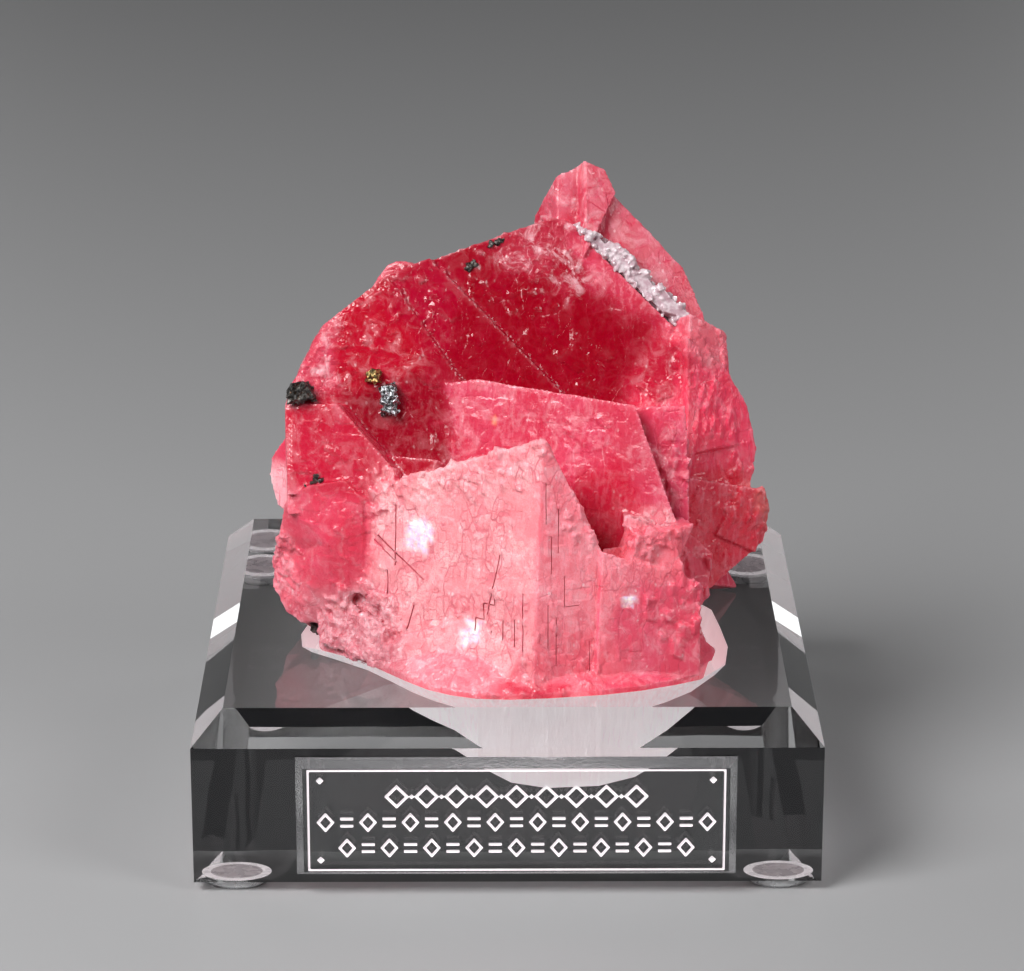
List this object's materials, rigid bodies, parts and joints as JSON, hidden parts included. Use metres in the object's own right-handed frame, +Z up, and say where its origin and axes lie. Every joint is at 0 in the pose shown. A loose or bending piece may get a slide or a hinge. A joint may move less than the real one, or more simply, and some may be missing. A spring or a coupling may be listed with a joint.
{
  "type": "mineral specimen on acrylic base",
  "caption": "Rhodochrosite crystal cluster with small sulphide and quartz crystals, standing in a fitted pocket in a clear chamfered acrylic block with a label plate.",
  "frame": {"origin": "on the table, under the middle of the whole object", "axes": "+Z up; -Y the front, where the label plate is; +X to the viewer's right"},
  "size_m": [0.091, 0.093, 0.0956],
  "materials": {
    "clear_acrylic": "polished clear cast acrylic, with a ground pocket wall",
    "bumper_rubber": "clear soft bumper",
    "rhodochrosite": "translucent, glassy to satin cleavage faces",
    "sulphide": "dark metallic lustre",
    "chalcopyrite": "brassy metallic lustre",
    "quartz": "translucent grey-white crust"
  },
  "bodies": {
    "root": {"acrylic_block": "clear_acrylic", "label_plate": "clear_acrylic", "foot_front_left": "bumper_rubber", "foot_front_right": "bumper_rubber", "foot_back_left": "bumper_rubber", "foot_back_right": "bumper_rubber", "rhodochrosite_cluster": "rhodochrosite", "sulphide_left": "sulphide", "sulphide_centre": "sulphide", "chalcopyrite": "chalcopyrite", "quartz_crust": "quartz"}
  },
  "joints": []
}
